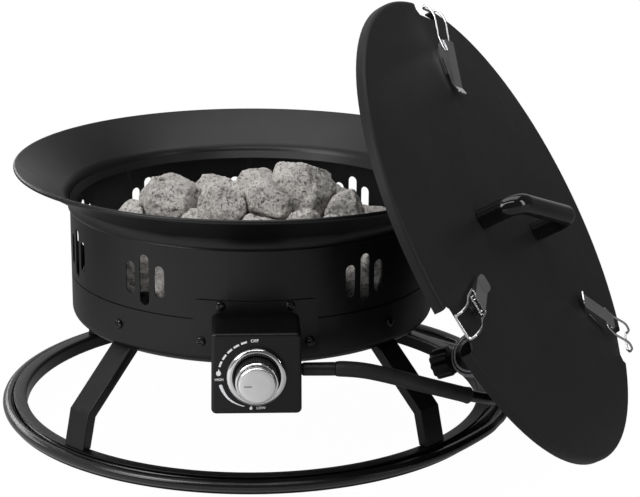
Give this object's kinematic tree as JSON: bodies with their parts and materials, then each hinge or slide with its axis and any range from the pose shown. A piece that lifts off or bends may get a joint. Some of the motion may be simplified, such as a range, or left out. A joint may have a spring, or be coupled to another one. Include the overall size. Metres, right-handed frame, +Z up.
{
  "type": "portable propane fire pit",
  "caption": "Round portable gas fire pit: vented black bowl with a flared rim on a ring stand that stores its hose, gas control knob, lava rocks and a leaning latched lid.",
  "frame": {"origin": "centre of the base ring on the floor", "axes": "+Z up along the bowl's axis, -Y towards the control knob, +X towards the leaning lid"},
  "size_m": [0.6596, 0.6059, 0.426],
  "materials": {
    "body_paint": "satin charcoal black powder coat",
    "lid_paint": "matte black powder coat",
    "handle_plastic": "gloss black",
    "black_screw": "black oxide",
    "steel": "brushed",
    "brass": "machined",
    "chrome": "bright chrome",
    "knob_black": "moulded black",
    "knob_silver": "satin silver",
    "hose_rubber": "satin black",
    "sleeve_rubber": "matte black",
    "cast_alloy": "dark cast alloy with a bright crimped rim",
    "lava": "rough porous lava stone, pale warm grey"
  },
  "bodies": {
    "fire_pit": {"base_ring": "body_paint", "leg_front_left": "body_paint", "leg_front_right": "body_paint", "leg_rear_right": "body_paint", "leg_rear_left": "body_paint", "lower_pan": "body_paint", "pan_screws": "black_screw", "tray_brackets": "steel", "burner_tray": "steel", "burner_ring": "steel", "orifice_fitting": "brass", "gas_feed_tube": "steel", "vented_wall": "body_paint", "rim": "body_paint", "control_mount_plate": "body_paint", "panel_screws": "black_screw", "control_box": "body_paint", "knob_bezel": "chrome", "valve_body": "brass", "valve_nut": "steel", "lava_rocks": "lava", "hose_fitting": "brass", "hose_lead": "hose_rubber", "hose_sleeve": "sleeve_rubber", "hose_winding": "hose_rubber", "hose_tail": "hose_rubber", "regulator_body": "cast_alloy", "regulator_cap": "cast_alloy", "regulator_inlet": "brass"},
    "valve_plug": {"valve_plug": "brass"},
    "knob": {"valve_stem": "steel", "knob_skirt": "knob_black", "knob_cap": "knob_silver"},
    "tank_nut": {"tank_nut": "knob_black"},
    "lid": {"lid_disc": "lid_paint", "lid_handle": "handle_plastic", "handle_screws": "steel", "latch_base_1": "chrome", "latch_base_2": "chrome", "latch_base_3": "chrome", "latch_pins": "chrome", "latch_rivets": "chrome"},
    "latch_lever_1": {"latch_lever_1": "chrome"},
    "latch_bail_1": {"latch_bail_1": "chrome"},
    "latch_lever_2": {"latch_lever_2": "chrome"},
    "latch_bail_2": {"latch_bail_2": "chrome"},
    "latch_lever_3": {"latch_lever_3": "chrome"},
    "latch_bail_3": {"latch_bail_3": "chrome"}
  },
  "joints": [
    {"name": "knob_turn", "type": "hinge", "parent": "fire_pit", "child": "valve_plug", "pos_m": [0, -0.241, 0.1114], "axis": [0, -1, 0], "range_deg": [-90, 90]},
    {"name": "knob_push", "type": "slide", "parent": "valve_plug", "child": "knob", "axis": [0, 1, 0], "range_m": [0, 0.003], "stiffness_N_per_m": 800},
    {"name": "tank_nut_turn", "type": "hinge", "parent": "fire_pit", "child": "tank_nut", "pos_m": [0.236, 0.012, 0.041], "axis": [-0.8532, 0.3541, -0.3831], "continuous": true},
    {"name": "lid_lift", "type": "slide", "parent": "fire_pit", "child": "lid", "axis": [0, 0, 1], "range_m": [0, 0.3]},
    {"name": "latch_lever_1_throw", "type": "hinge", "parent": "lid", "child": "latch_lever_1", "pos_m": [0.19371, -0.00873, 0.37757], "axis": [0.5227, 0.7919, -0.3157], "range_deg": [-140, 0]},
    {"name": "latch_bail_1_swing", "type": "hinge", "parent": "latch_lever_1", "child": "latch_bail_1", "pos_m": [0.19712, -0.01368, 0.37081], "axis": [0.5227, 0.7919, -0.3157], "range_deg": [0, 140]},
    {"name": "latch_lever_2_throw", "type": "hinge", "parent": "lid", "child": "latch_lever_2", "pos_m": [0.19316, -0.29527, 0.19553], "axis": [-0.521, 0.0521, 0.8519], "range_deg": [-140, 0]},
    {"name": "latch_bail_2_swing", "type": "hinge", "parent": "latch_lever_2", "child": "latch_bail_2", "pos_m": [0.1966, -0.28707, 0.19713], "axis": [-0.521, 0.0521, 0.8519], "range_deg": [0, 140]},
    {"name": "latch_lever_3_throw", "type": "hinge", "parent": "lid", "child": "latch_lever_3", "pos_m": [0.37059, -0.02643, 0.08835], "axis": [-0.0016, -0.8441, -0.5362], "range_deg": [-140, 0]},
    {"name": "latch_bail_3_swing", "type": "hinge", "parent": "latch_lever_3", "child": "latch_bail_3", "pos_m": [0.36589, -0.03056, 0.09488], "axis": [-0.0016, -0.8441, -0.5362], "range_deg": [0, 140]}
  ],
  "couplings": [
    {"joint": "latch_bail_1_swing", "follows": "latch_lever_1_throw", "ratio": -1},
    {"joint": "latch_bail_2_swing", "follows": "latch_lever_2_throw", "ratio": -1},
    {"joint": "latch_bail_3_swing", "follows": "latch_lever_3_throw", "ratio": -1}
  ]
}
